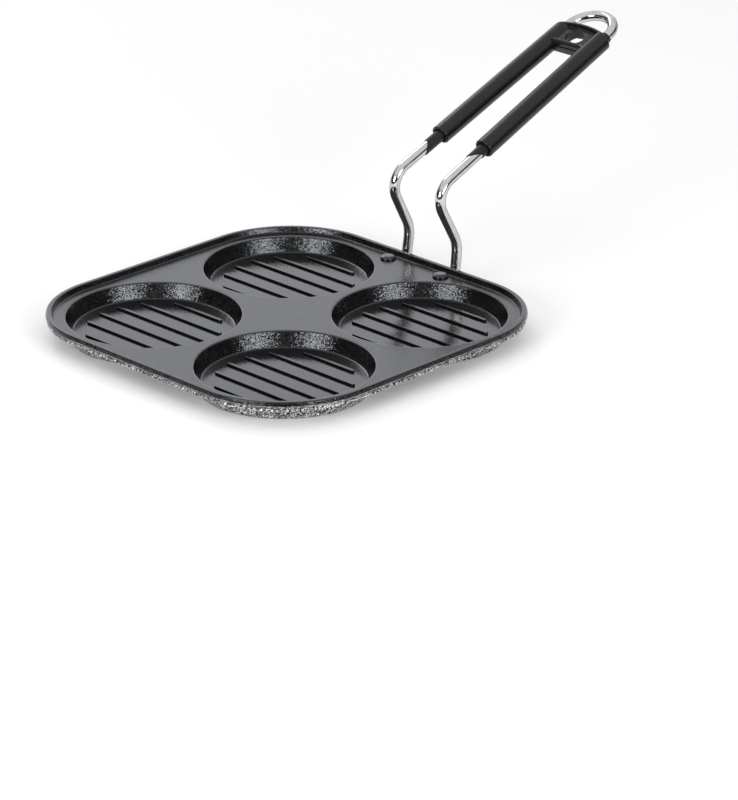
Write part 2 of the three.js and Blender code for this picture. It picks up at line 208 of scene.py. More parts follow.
# Facets
WELL_STEPS = 160
CORNER_STEPS = 48
ROUND_STEPS = 5
RIVET_STEPS = 48
WIRE_SIDES = 32
BEND_STEPS = 14
LOOP_STEPS = 28
BOW_STEPS = 12
SMOOTH_ANGLE = math.radians(38)

# How far a cutter reaches past what it cuts, how close two points are when they count as one, and how
# close to the middle plane a point is when it counts as on it
PAST = 5 * MM
WELD = 0.002 * MM
ON_MIDDLE = 0.02 * MM

# The photograph's camera
FRAME_WIDTH = 738
FRAME_HEIGHT = 800
FOCAL_PIXELS = 3682
CAMERA_AZIMUTH = math.radians(44.75)
CAMERA_ELEVATION = math.radians(22.99)
CAMERA_DISTANCE = 2.038
PAN_PIXEL = (286.8, 313.8)
SENSOR = 36
CLIP_END = 50

# The middle of the bright backdrop is this far above the floor, which glows a little where it is seen
BACKDROP_RISE = math.radians(14)
FLOOR_SIZE = 12
FLOOR_DROP = 0.3 * MM
FLOOR_GLOW = 0.025


# Modelling helpers

def start(name, primitive, **size):
    """Adds a primitive and leaves it in edit mode with all of it selected."""
    bpy.ops.object.select_all(action="DESELECT")
    primitive(**size)
    bpy.ops.object.transform_apply(location=True, rotation=True, scale=True)
    piece = bpy.context.object
    piece.name = name
    piece.data.name = name
    bpy.ops.object.mode_set(mode="EDIT")
    bpy.ops.mesh.select_mode(type="VERT")
    bpy.ops.mesh.select_all(action="SELECT")
    return piece


def take(piece):
    """Makes a piece the only one selected, and the active one."""
    bpy.ops.object.select_all(action="DESELECT")
    piece.select_set(True)
    bpy.context.view_layer.objects.active = piece


def edit(piece):
    """Opens a piece in edit mode with all of it selected."""
    take(piece)
    bpy.ops.object.mode_set(mode="EDIT")
    bpy.ops.mesh.select_all(action="SELECT")


def leave():
    bpy.ops.object.mode_set(mode="OBJECT")


def pick(piece, kind, test):
    """Selects the points, edges or faces, named VERT, EDGE or FACE, that pass a test."""
    bpy.ops.mesh.select_mode(type=kind)
    bpy.ops.mesh.select_all(action="DESELECT")
    shape = bmesh.from_edit_mesh(piece.data)
    items = {"VERT": shape.verts, "EDGE": shape.edges, "FACE": shape.faces}[kind]
    for item in items:
        if test(item):
            item.select_set(True)
    shape.select_flush_mode()
    bmesh.update_edit_mesh(piece.data)


def move(offset):
    bpy.ops.transform.translate(value=offset)


def turn(angle, axis, centre=(0, 0, 0)):
    """Turns what is selected by the right-hand rule. The operator itself turns the other way here."""
    bpy.ops.transform.rotate(value=-angle, orient_axis=axis, center_override=centre)


def widen(factors, centre):
    bpy.ops.transform.resize(value=factors, center_override=centre)


def pull(offset):
    """Extrudes the selected edges or faces."""
    bpy.ops.mesh.extrude_region_move(TRANSFORM_OT_translate={"value": offset})


def spin(angle, centre, axis, steps):
    """Sweeps what is selected by the right-hand rule. The operator itself turns the other way here."""
    bpy.ops.mesh.spin(steps=steps, angle=-angle, center=centre, axis=axis)


def tidy_shell():
    """Merges doubled points and turns every face outwards."""
    bpy.ops.mesh.select_all(action="SELECT")
    bpy.ops.mesh.remove_doubles(threshold=WELD)
    bpy.ops.mesh.normals_make_consistent(inside=False)


def rounded(corners):
    """The points of an outline given as (across, height, radius) corners, with an arc at each radius."""
    points = []
    for i, (x, z, radius) in enumerate(corners):
        here = Vector((x, z))
        if not radius:
            points.append(here)
            continue
        back = (Vector(corners[i - 1][:2]) - here).normalized()
        on = (Vector(corners[(i + 1) % len(corners)][:2]) - here).normalized()
        half = back.angle(on) / 2
        middle = (back + on).normalized()
        side = (back - on).normalized()
        centre = here + middle * (radius / math.sin(half))
        sweep = math.pi / 2 - half
        for k in range(ROUND_STEPS + 1):
            angle = sweep * (1 - 2 * k / ROUND_STEPS)
            points.append(centre - middle * radius * math.cos(angle) + side * radius * math.sin(angle))
    return points


def draw(name, points):
    """A line in the XZ plane, drawn by extruding one point along it, left selected in edit mode."""
    piece = start(name, bpy.ops.mesh.primitive_plane_add, size=MM)
    bpy.ops.mesh.merge(type="CENTER")
    places = [Vector((x, 0, z)) for x, z in points]
    move(places[0])
    for before, after in zip(places, places[1:]):
        bpy.ops.mesh.extrude_vertices_move(TRANSFORM_OT_translate={"value": after - before})
    bpy.ops.mesh.select_all(action="SELECT")
    return piece


def turned(name, corners, steps):
    """A round solid from half its section."""
    piece = draw(name, rounded(corners))
    spin(2 * math.pi, (0, 0, 0), UP, steps)
    tidy_shell()
    return piece


def apply_all(piece):
    take(piece)
    for modifier in list(piece.modifiers):
        bpy.ops.object.modifier_apply(modifier=modifier.name)


def mirror(piece, x=True, y=False):
    """Copies a piece to the other side of the pan's middle lines and joins what meets there."""
    modifier = piece.modifiers.new("mirror", "MIRROR")
    modifier.use_axis = (x, y, False)
    modifier.merge_threshold = WELD
    apply_all(piece)


def combine(piece, tool, operation):
    """Joins a tool to a piece or cuts it away, and uses the tool up."""
    modifier = piece.modifiers.new("combine", "BOOLEAN")
    modifier.operation = operation
    modifier.object = tool
    modifier.solver = "EXACT"
    modifier.material_mode = "TRANSFER"
    apply_all(piece)
    bpy.data.objects.remove(tool)


def dress(piece, *finishes):
    for finish in finishes:
        piece.data.materials.append(finish)


def finish_shading(piece):
    """Smooth faces with crisp edges, and normals that follow the large faces."""
    take(piece)
    bpy.ops.object.shade_smooth_by_angle(angle=SMOOTH_ANGLE)
    modifier = piece.modifiers.new("weighted", "WEIGHTED_NORMAL")
    modifier.keep_sharp = True
    apply_all(piece)


def seat(piece, node):
    """Puts a finished piece in the place of its solid."""
    finish_shading(piece)
    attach(piece, "root")
    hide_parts(node)


# Pan

def pan_tray():
    """A quarter of the rim, swept along one side, round its corner and along the next, then mirrored."""
    section = rounded([
        (RIM_FOOT + FLANGE_REACH, FLANGE_UNDER, 0),
        (BEAD_INSET, FLANGE_UNDER, BEAD_ROUND),
        (BEAD_INSET, BEAD_HEIGHT, BEAD_ROUND / 2),
        (CREASE_INSET, CREASE_HEIGHT, CREASE_ROUND),
        (0, RIM_EDGE, RIM_EDGE_ROUND),
        (RIM_LEAN, RIM_TOP, RIM_OUTER_ROUND),
        (RIM_LIP, RIM_TOP, RIM_INNER_ROUND),
        (RIM_FOOT, FLANGE_TOP, RIM_FOOT_ROUND),
        (RIM_FOOT + FLANGE_REACH, FLANGE_TOP, 0),
    ])
    tray = draw("pan", [(PAN_HALF - inset, height) for inset, height in section])
    pull((0, CORNER_CENTRE, 0))
    spin(math.pi / 2, (CORNER_CENTRE, CORNER_CENTRE, 0), UP, CORNER_STEPS)
    pull((-CORNER_CENTRE, 0, 0))
    tidy_shell()
    leave()
    mirror(tray, x=True, y=True)
    edit(tray)
    bpy.ops.mesh.select_mode(type="EDGE")
    bpy.ops.mesh.select_all(action="DESELECT")
    bpy.ops.mesh.select_non_manifold()
    bpy.ops.mesh.fill_holes(sides=0)
    tidy_shell()
    leave()
    return tray


def is_outside(face):
    """Whether a face of the tray is below the crease under the rim: its underside and the bead."""
    middle = face.center
    outward = (face.normal.x * middle.x + face.normal.y * middle.y) / PAN_HALF > OUTWARD
    return face.normal.z < -DOWNWARD or (outward and middle.z < CREASE_HEIGHT)


def well_cup():
    """The outside of a well, from its base up into the flange."""
    wall = FLOOR_RADIUS + SHEET
    cup = turned("cup", [
        (0, 0, 0),
        (wall, 0, BASE_ROUND),
        (WELL_RADIUS + SHEET, FLANGE_UNDER, 0),
        (WELL_RADIUS + SHEET, FLANGE_UNDER + SHEET / 2, 0),
        (0, FLANGE_UNDER + SHEET / 2, 0),
    ], WELL_STEPS)
    move((WELL_OFFSET, WELL_OFFSET, 0))
    leave()
    return cup


def well_hollow():
    """The inside of a well, flared at its edge so that the cut leaves a round one."""
    section = rounded([
        (0, WELL_FLOOR, 0),
        (FLOOR_RADIUS, WELL_FLOOR, FLOOR_FILLET),
        (WELL_RADIUS, FLANGE_TOP - WELL_EASE_DROP, WELL_EDGE_ROUND),
        (WELL_RADIUS + WELL_EASE, FLANGE_TOP, 0),
    ])
    top = FLANGE_TOP + PAST
    hollow = draw("hollow", [*section, (section[-1].x, top), (0, top)])
    spin(2 * math.pi, (0, 0, 0), UP, WELL_STEPS)
    tidy_shell()
    move((WELL_OFFSET, WELL_OFFSET, 0))
    leave()
    return hollow


def grill_rib(number):
    """A bar across a well with round ends and a rounded top, sunk as deep as it stands proud."""
    y = (number - (RIBS_PER_WELL - 1) / 2) * RIB_PITCH
    half = math.sqrt(RIB_REACH ** 2 - y ** 2)
    rib = start(f"rib_{number}", bpy.ops.mesh.primitive_cube_add, size=1)
    widen((2 * half, RIB_WIDTH, 2 * RIB_HEIGHT), (0, 0, 0))
    pick(rib, "EDGE", lambda edge: abs(edge.verts[0].co.z - edge.verts[1].co.z) > RIB_HEIGHT)
    bpy.ops.mesh.bevel(offset=RIB_END_ROUND, segments=ROUND_STEPS)
    pick(rib, "EDGE", lambda edge: all(v.co.z > RIB_HEIGHT / 2 for v in edge.verts))
    bpy.ops.mesh.bevel(offset=RIB_ROUND, segments=ROUND_STEPS)
    bpy.ops.mesh.select_all(action="SELECT")
    move((WELL_OFFSET, WELL_OFFSET + y, WELL_FLOOR))
    tidy_shell()
    leave()
    return rib


def grill_ribs():
    """The ribs of one well, joined."""
    ribs = [grill_rib(number) for number in range(RIBS_PER_WELL)]
    take(ribs[0])
    for rib in ribs:
        rib.select_set(True)
    bpy.ops.object.join()
    return ribs[0]


def rivet_hole():
    """A cutter for both rivet holes."""
    hole = start(
        "hole", bpy.ops.mesh.primitive_cylinder_add,
        vertices=RIVET_STEPS, radius=RIVET_HOLE, depth=2 * RIM_TOP,
        location=(RIVET_X, RIVET_Y, RIM_TOP / 2),
    )
    leave()
    mirror(hole)
    return hole


def make_pan(coat, hammered):
    """The tray with its wells, ribs and rivet holes, enamelled outside and coated inside."""
    tray = pan_tray()
    dress(tray, coat, hammered)
    for face in tray.data.polygons:
        face.material_index = int(is_outside(face))
    cup, hollow, ribs, hole = well_cup(), well_hollow(), grill_ribs(), rivet_hole()
    dress(cup, hammered)
    for tool in (hollow, ribs, hole):
        dress(tool, coat)
    for tool in (cup, hollow, ribs):
        mirror(tool, x=True, y=True)
    combine(tray, cup, "UNION")
    combine(tray, hollow, "DIFFERENCE")
    combine(tray, ribs, "UNION")
    combine(tray, hole, "DIFFERENCE")
    edit(tray)
    move(PAN_MIDDLE)
    leave()
    seat(tray, "pan_body")


# Rivets

def make_rivets(finish):
    """Domed heads on the flange, shanks through the sheet and the pads, and tails below."""
    for node in ("rivet_left", "rivet_right"):
        low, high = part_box(node)
        radius = (high.x - low.x) / 2
        middle = (low + high) / 2
        foot = FLANGE_TOP + CLEARANCE
        tail = WIRE_TOP - 2 * PAD_HALF_THICKNESS - CLEARANCE
        rivet = turned(node + "_head", [
            (0, low.z, 0),
            (radius * TAIL_SHARE, low.z, TAIL_ROUND),
            (radius * TAIL_SHARE, tail, 0),
            (RIVET_SHANK, tail, 0),
            (RIVET_SHANK, foot, 0),
            (radius, foot, 0),
            (radius, foot + HEAD_EDGE, HEAD_EDGE_ROUND),
            (radius * HEAD_CROWN_SHARE, high.z, HEAD_CROWN_ROUND),
            (0, high.z, 0),
        ], RIVET_STEPS)
        move((middle.x, middle.y, 0))
        leave()
        dress(rivet, finish)
        seat(rivet, node)


# Wire

def on_handle(x, along, above=0):
    """A point given in the handle's own axes: across, along and above the legs."""
    level, rise = math.cos(HANDLE_ANGLE), math.sin(HANDLE_ANGLE)
    return HANDLE_BEND + Vector((x, along * level - above * rise, along * rise + above * level))


def bend_wire(place, corner, after, radius):
    """Runs the wire's end straight to a corner and bends it round towards the next point."""
    back = (place - corner).normalized()
    on = (after - corner).normalized()
    half = back.angle(on) / 2
    centre = corner + (back + on).normalized() * (radius / math.sin(half))
    reach = radius / math.tan(half)
    pull(corner + back * reach - place)
    spin(math.pi - 2 * half, centre, (-back).cross(on).normalized(), BEND_STEPS)
    return corner + on * reach


def wire_pad(wire):
    """The flattened end under the flange, wide at the rivet and drawn in to the round wire."""
    rings = []
    for past_rivet, wide_share, thick_share in PAD_STATIONS:
        thick = thick_share * PAD_HALF_THICKNESS
        ring_place = Vector((-RIVET_X, RIVET_Y + past_rivet, WIRE_TOP - thick))
        rings.append((ring_place, wide_share * PAD_HALF_WIDTH, thick))
    end = Vector((-RIVET_X, RISE_Y - FOOT_BEND, WIRE_HEIGHT))
    rings.append((end, WIRE_RADIUS, WIRE_RADIUS))
    place, wide, thick = rings[0]
    widen((wide / WIRE_RADIUS, 1, thick / WIRE_RADIUS), (0, 0, 0))
    move(place)
    bpy.ops.mesh.edge_face_add()
    pick(wire, "FACE", lambda face: True)
    for before, after in zip(rings, rings[1:]):
        place, wide, thick = before
        new_place, new_wide, new_thick = after
        pull(new_place - place)
        widen((new_wide / wide, 1, new_thick / thick), new_place)
    return end


def make_wire(finish):
    """Half the wire, swept from its pad round the bends to the middle of the loop, then mirrored."""
    wire = start(
        "wire", bpy.ops.mesh.primitive_circle_add,
        vertices=WIRE_SIDES, radius=WIRE_RADIUS, rotation=(math.pi / 2, 0, 0),
    )
    dress(wire, finish)
    place = wire_pad(wire)
    rise = (LOW_BEND_HEIGHT - WIRE_HEIGHT) / (HANDLE_BEND.z - WIRE_HEIGHT)
    low_x = RISE_X + (LEG_X - RISE_X) * rise
    loop_in = on_handle(
        -LOOP_RADIUS * math.cos(LEG_TAPER), LOOP_CENTRE + LOOP_RADIUS * math.sin(LEG_TAPER),
    )
    corners = [
        (Vector((-RISE_X, RISE_Y, WIRE_HEIGHT)), FOOT_BEND),
        (Vector((-low_x, RISE_Y + RISE_LEAN, LOW_BEND_HEIGHT)), LOW_BEND),
        (on_handle(-LEG_X, 0), HIGH_BEND),
    ]
    aims = [corners[1][0], corners[2][0], loop_in]
    first = corners[0][0] - place
    turn(-math.atan2(first.x, first.y), "Z", place)
    for (corner, radius), after in zip(corners, aims):
        place = bend_wire(place, corner, after, radius)
    pull(loop_in - place)
    above = Vector((0, -math.sin(HANDLE_ANGLE), math.cos(HANDLE_ANGLE)))
    spin(-(math.pi / 2 - LEG_TAPER), on_handle(0, LOOP_CENTRE), above, LOOP_STEPS)
    pick(wire, "FACE", lambda face: all(abs(v.co.x) < ON_MIDDLE for v in face.verts))
    bpy.ops.mesh.delete(type="FACE")
    tidy_shell()
    leave()
    mirror(wire)
    hole = rivet_hole()
    dress(hole, finish)
    combine(wire, hole, "DIFFERENCE")
    edit(wire)
    move(PAN_MIDDLE)
    tidy_shell()
    leave()
    seat(wire, "handle_wire")


# Grip, modelled in the handle's own axes and then set on the wire

def set_on_handle():
    """Tilts what is selected with the handle and moves it to the bend."""
    turn(HANDLE_ANGLE, "X")
    move(HANDLE_BEND + PAN_MIDDLE)


def set_on_leg(side):
    """Turns what is selected with one leg and moves it out to that leg."""
    turn(side * LEG_TAPER, "Z")
    move((side * LEG_X, 0, 0))


def bow_at(x):
    """How far the grip's end has fallen back at a distance from its middle."""
    return BOW_RADIUS - math.sqrt(BOW_RADIUS ** 2 - x ** 2)


def along_ring(y, half_width, half_height, old):
    """Extrudes the open ring to a new place along the leg and a new size."""
    old_y, old_width, old_height = old
    pull((0, y - old_y, 0))
    widen((half_width / old_width, 1, half_height / old_height), (0, y, 0))
    return y, half_width, half_height


def close_leg_end(y, side):
    """Runs the open ring on to the far end, leans it with the bow and closes it with a round edge."""
    lean = math.asin(LEG_END_X / BOW_RADIUS) + LEG_TAPER
    end = GRIP_END - bow_at(LEG_END_X) - LEG_SHY
    half_width, half_height = LEG_HALF_WIDTH / math.cos(lean), LEG_HALF_HEIGHT
    first = end - LEG_END_ROUND / math.cos(lean)
    pull((0, first - y, 0))
    widen((half_width / LEG_HALF_WIDTH, 1, 1), (0, first, 0))
    turn(-side * lean, "Z", (0, first, 0))
    wide, tall, y = half_width, half_height, first
    for k in range(1, ROUND_STEPS + 1):
        angle = k / ROUND_STEPS * math.pi / 2
        inset = LEG_END_ROUND * (1 - math.cos(angle))
        new_y = first + LEG_END_ROUND * math.sin(angle) / math.cos(lean)
        new_wide, new_tall = half_width - inset, half_height - inset
        pull((0, new_y - y, 0))
        widen((new_wide / wide, new_wide / wide, new_tall / tall), (0, new_y, 0))
        wide, tall, y = new_wide, new_tall, new_y
    bpy.ops.mesh.edge_face_add()


def press_seam(leg, facing, half_width, depth):
    """A groove along the side of the leg that faces -X or +X, where the halves of its mould part."""

    def along_seam(edge):
        a, b = edge.verts[0].co, edge.verts[1].co
        on_side = a.x * facing > 0 and b.x * facing > 0
        level = max(abs(a.z - SEAM_HEIGHT), abs(b.z - SEAM_HEIGHT)) < SEAM_NEAR
        return on_side and level and abs(a.y - b.y) > SEAM_LEAST_EDGE

    pick(leg, "EDGE", along_seam)
    bpy.ops.mesh.bevel(offset=half_width, segments=2)
    pick(leg, "EDGE", along_seam)
    move((-facing * depth, 0, 0))


def grip_leg(side):
    """A leg from the floor of its mouth out over a bead and a round edge, and on to its far end."""
    leg = start(
        f"leg_{side}", bpy.ops.mesh.primitive_circle_add,
        vertices=LEG_SIDES, radius=MOUTH_RADIUS, fill_type="NGON", rotation=(math.pi / 2, 0, 0),
    )
    inside = GRIP_START + MOUTH_DEPTH
    move((0, inside, 0))
    ring = (inside, MOUTH_RADIUS, MOUTH_RADIUS)
    for k in range(ROUND_STEPS + 1):
        angle = k / ROUND_STEPS * math.pi / 2
        y = GRIP_START + MOUTH_BEAD * (1 - math.sin(angle))
        radius = MOUTH_RADIUS + MOUTH_BEAD * (1 - math.cos(angle))
        ring = along_ring(y, radius, radius, ring)
    for k in range(ROUND_STEPS + 1):
        angle = k / ROUND_STEPS * math.pi / 2
        inset = MOUTH_ROUND * (1 - math.sin(angle))
        y = GRIP_START + MOUTH_ROUND * (1 - math.cos(angle))
        ring = along_ring(y, LEG_HALF_WIDTH - inset, LEG_HALF_HEIGHT - inset, ring)
    close_leg_end(ring[0], side)
    tidy_shell()
    press_seam(leg, -side, SEAM_HALF_WIDTH, SEAM_DEPTH)
    press_seam(leg, side, OUTER_SEAM_HALF_WIDTH, OUTER_SEAM_DEPTH)
    bpy.ops.mesh.select_all(action="SELECT")
    set_on_leg(side)
    leave()
    return leg


def grip_bridge():
    """The bar between the legs: a ridge on its near side, a thin panel, and a lip that follows the bow."""
    near, far = BRIDGE_START, GRIP_END - BRIDGE_SHY
    half_section = [
        (near, RIDGE_TOP, CREST_ROUND),
        (near + RIDGE_WIDTH, RIDGE_TOP, RIDGE_ROUND),
        (near + RIDGE_WIDTH + PANEL_DRAFT, PANEL_TOP, PANEL_FILLET),
        (far - LIP_WIDTH - PANEL_DRAFT, PANEL_TOP, PANEL_FILLET),
        (far - LIP_WIDTH, LIP_TOP, LIP_ROUND),
        (far, LIP_TOP, LEG_END_ROUND),
    ]
    section = rounded([
        *half_section,
        *[(y, -height, radius) for y, height, radius in reversed(half_section)],
        (near, SEAM_HEIGHT - SEAM_HALF_WIDTH, 0),
        (near + SEAM_DEPTH, SEAM_HEIGHT, 0),
        (near, SEAM_HEIGHT + SEAM_HALF_WIDTH, 0),
    ])
    bridge = draw("bridge", section)
    bpy.ops.mesh.edge_face_add()
    turn(math.pi / 2, "Z")
    move((-LEG_END_X, 0, 0))
    step = 2 * LEG_END_X / BOW_STEPS
    fallen = 0
    for k in range(BOW_STEPS + 1):
        x = k * step - LEG_END_X
        if k:
            pick(bridge, "FACE", lambda face: all(abs(v.co.x - x + step) < WELD for v in face.verts))
            pull((step, 0, 0))
        pick(bridge, "VERT", lambda v: abs(v.co.x - x) < WELD and v.co.y + fallen > (near + far) / 2)
        move((0, fallen - bow_at(x), 0))
        fallen = bow_at(x)
    tidy_shell()
    leave()
    return bridge


def bridge_hole():
    """A cutter with flared ends, so that the hole has round edges."""
    top, low = PANEL_TOP, -PANEL_TOP
    section = rounded([
        (HOLE_RADIUS + PAST, low, 0),
        (HOLE_RADIUS, low, HOLE_ROUND),
        (HOLE_RADIUS, top, HOLE_ROUND),
        (HOLE_RADIUS + PAST, top, 0),
    ])[1:-1]
    flare = section[0].x
    start_cap = [(0, low - PAST), (flare, low - PAST)]
    end_cap = [(flare, top + PAST), (0, top + PAST)]
    cutter = draw("cutter", [*start_cap, *section, *end_cap])
    spin(2 * math.pi, (0, 0, 0), UP, RIVET_STEPS)
    tidy_shell()
    move((0, (BRIDGE_START + GRIP_END) / 2, 0))
    leave()
    return cutter


def leg_bore(side):
    """A cutter for the wire's way through a leg."""
    bore = start(
        f"bore_{side}", bpy.ops.mesh.primitive_cylinder_add,
        vertices=LEG_SIDES, radius=BORE_RADIUS, depth=2 * GRIP_END, rotation=(math.pi / 2, 0, 0),
    )
    move((0, GRIP_END, 0))
    set_on_leg(side)
    leave()
    return bore


def make_grip(finish):
    """The bridge with both legs joined to it, then the hole and the bores cut."""
    grip = grip_bridge()
    grip.name = "grip_moulding"
    legs = [grip_leg(side) for side in (-1, 1)]
    cutters = [bridge_hole(), leg_bore(-1), leg_bore(1)]
    for part in (grip, *legs, *cutters):
        dress(part, finish)
    for leg in legs:
        combine(grip, leg, "UNION")
    for cutter in cutters:
        combine(grip, cutter, "DIFFERENCE")
    edit(grip)
    set_on_handle()
    tidy_shell()
    leave()
    seat(grip, "grip")


# Sleeves

def make_sleeves(finish):
    """Thin tubes through the legs, cut on a slant below them."""
    for (node, tail), side in zip(SLEEVE_TAILS.items(), (-1, 1)):
        low = GRIP_START - tail
        head = GRIP_END - bow_at(LEG_END_X) + SLEEVE_HEADS[node]
        across, above = SLEEVE_SLANTS[node]
        slant = Vector((across, -1, above)).normalized()
        sleeve = start(
            node + "_tube", bpy.ops.mesh.primitive_circle_add,
            vertices=LEG_SIDES, radius=SLEEVE_RADIUS, rotation=(math.pi / 2, 0, 0),
        )
        move((0, low - SLEEVE_SPARE, 0))
        pull((0, head - low + SLEEVE_SPARE, 0))
        bpy.ops.mesh.select_all(action="SELECT")
        bpy.ops.mesh.bisect(plane_co=(0, low, 0), plane_no=slant, clear_outer=True, threshold=WELD)
        tidy_shell()
        set_on_leg(side)
        set_on_handle()
        leave()
        wall = sleeve.modifiers.new("wall", "SOLIDIFY")
        wall.thickness = SLEEVE_WALL
        wall.offset = -1
        apply_all(sleeve)
        dress(sleeve, finish)
        seat(sleeve, node)


# Finishes

def socket_of(node, name):
    """A node's input, named with _ for spaces, or by _ and its number."""
    if name[1:].isdigit():
        return node.inputs[int(name[1:])]
    return node.inputs[name.replace("_", " ")]


def new_finish(name, **sockets):
    """A material with a Principled shader whose sockets are named with _ for spaces."""
    material = bpy.data.materials.new(name)
    material.use_nodes = True
    shader = material.node_tree.nodes["Principled BSDF"]
    for socket, value in sockets.items():
        socket_of(shader, socket).default_value = value
    return material, shader


def add(tree, kind, settings=None, **sockets):
    """A node with its settings, and its sockets set to a value or linked to another node's output."""
    node = tree.nodes.new(kind)
    for key, value in (settings or {}).items():
        setattr(node, key, value)
    for socket, value in sockets.items():
        target = socket_of(node, socket)
        if isinstance(value, bpy.types.NodeSocket):
            tree.links.new(value, target)
        else:
            target.default_value = value
    return node


def ramp(tree, value, *stops):
    """A ramp through stops, each a position and a grey level or a colour."""
    node = add(tree, "ShaderNodeValToRGB", Fac=value)
    marks = node.color_ramp.elements
    while len(marks) < len(stops):
        marks.new(0.5)
    for mark, (position, level) in zip(marks, stops):
        mark.position = position
        mark.color = (*level, 1) if isinstance(level, tuple) else (level, level, level, 1)
    return node.outputs["Color"]


def place_of(tree):
    return add(tree, "ShaderNodeTexCoord").outputs["Object"]


def height_of(tree, vector):
    return add(tree, "ShaderNodeSeparateXYZ", Vector=vector).outputs["Z"]


def noise(tree, scale, detail, distortion=0.0):
    """Cloudy noise over a piece, from 0 to 1."""
    node = add(tree, "ShaderNodeTexNoise", Vector=place_of(tree), Scale=scale, Detail=detail)
    node.inputs["Distortion"].default_value = distortion
    return node.outputs["Fac"]


def bumps(tree, height, strength, distance):
    node = add(tree, "ShaderNodeBump", Strength=strength, Distance=distance, Height=height)
    return node.outputs["Normal"]


def vectors(tree, operation, *terms, result="Vector"):
    """A vector node's result for its terms, each a value or another node's output."""
    sockets = {f"_{number}": term for number, term in enumerate(terms)}
    return add(tree, "ShaderNodeVectorMath", {"operation": operation}, **sockets).outputs[result]


def cover(tree, shader, colour, rough, normal):
    """Links what varies over a surface to its shader."""
    tree.links.new(colour, shader.inputs["Base Color"])
    tree.links.new(rough, shader.inputs["Roughness"])
    tree.links.new(normal, shader.inputs["Normal"])


def coat_finish():
    """Dark non-stick coat with mineral flakes, level on the flats and at all angles on the walls."""
    material, shader = new_finish("dark_coat", IOR=1.55, Specular_Tint=(0.9, 0.94, 1.0, 1))
    tree = material.node_tree
    place = place_of(tree)
    flakes = add(tree, "ShaderNodeTexVoronoi", Vector=place, Scale=2600).outputs["Color"]
    colour = ramp(tree, flakes, (0.0, 0.002), (0.8, 0.003), (0.9, 0.016))
    normal = add(tree, "ShaderNodeNewGeometry").outputs["Normal"]
    levelness = height_of(tree, normal)
    in_wells = ramp(tree, height_of(tree, place), (FADE_LOW, 0.13), (FADE_HIGH, 1.0))
    on_flats = ramp(tree, levelness, (0.55, 0.11), (0.9, 0.25))
    rough = vectors(tree, "MINIMUM", in_wells, on_flats)
    scatter = ramp(tree, levelness, (0.55, 0.27), (0.9, 0.05))
    lean = vectors(tree, "SUBTRACT", flakes, (0.5, 0.5, 0.5))
    leaning = vectors(tree, "MULTIPLY_ADD", lean, scatter, normal)
    cover(tree, shader, colour, rough, leaning)
    return material


def hammered_finish():
    """Silver and black hammered enamel."""
    material, shader = new_finish("hammered_enamel", Metallic=0.65)
    tree = material.node_tree
    worms = noise(tree, scale=950, detail=2.5, distortion=1.4)
    colour = ramp(tree, worms, (0.44, 0.006), (0.51, 0.16), (0.58, 1.0))
    rough = ramp(tree, worms, (0.4, 0.5), (0.65, 0.28))
    bump = bumps(tree, worms, strength=0.6, distance=0.3 * MM)
    cover(tree, shader, colour, rough, bump)
    return material


def bright_finish():
    """Bright plated wire with a faint haze."""
    material, shader = new_finish("bright_plating", Metallic=1.0, Specular_Tint=(0.3, 0.3, 0.32, 1))
    tree = material.node_tree
    haze = noise(tree, scale=240, detail=3.0)
    colour = ramp(tree, haze, (0.3, 0.55), (0.7, 0.65))
    rough = ramp(tree, haze, (0.35, 0.07), (0.75, 0.16))
    bump = bumps(tree, haze, strength=0.12, distance=0.1 * MM)
    cover(tree, shader, colour, rough, bump)
    return material


def moulding_finish():
    """Black satin heat-proof moulding."""
    material, shader = new_finish("black_moulding", IOR=1.38)
    tree = material.node_tree
    mottle = noise(tree, scale=420, detail=4.0)
    grain = noise(tree, scale=3200, detail=1.0)
    colour = ramp(tree, mottle, (0.3, 0.008), (0.7, 0.012))
    rough = ramp(tree, mottle, (0.3, 0.16), (0.7, 0.22))
    bump = bumps(tree, grain, strength=0.15, distance=0.1 * MM)
    cover(tree, shader, colour, rough, bump)
    return material


def sleeve_finish():
    """Black shrunk tube."""
    material, shader = new_finish("black_tube", IOR=1.33)
    tree = material.node_tree
    ripple = noise(tree, scale=700, detail=2.0)
    colour = ramp(tree, ripple, (0.3, 0.008), (0.7, 0.014))
    rough = ramp(tree, ripple, (0.3, 0.42), (0.7, 0.52))
    bump = bumps(tree, ripple, strength=0.2, distance=0.1 * MM)
    cover(tree, shader, colour, rough, bump)
    return material


def rivet_finish():
    """A dark coat like the pan's, smoother over the rivet heads."""
    material, shader = new_finish("rivet_coat", IOR=1.55)
    tree = material.node_tree
    grain = noise(tree, scale=1800, detail=2.0)
    colour = ramp(tree, grain, (0.3, 0.004), (0.75, 0.012))
    rough = ramp(tree, grain, (0.3, 0.1), (0.7, 0.16))
    bump = bumps(tree, grain, strength=0.3, distance=0.12 * MM)
    cover(tree, shader, colour, rough, bump)
    return material


# Studio

def towards(azimuth, elevation):
    """The direction out from the pan, with azimuth counted from -Y towards +X."""
    level = math.cos(elevation)
    return Vector((math.sin(azimuth) * level, -math.cos(azimuth) * level, math.sin(elevation)))


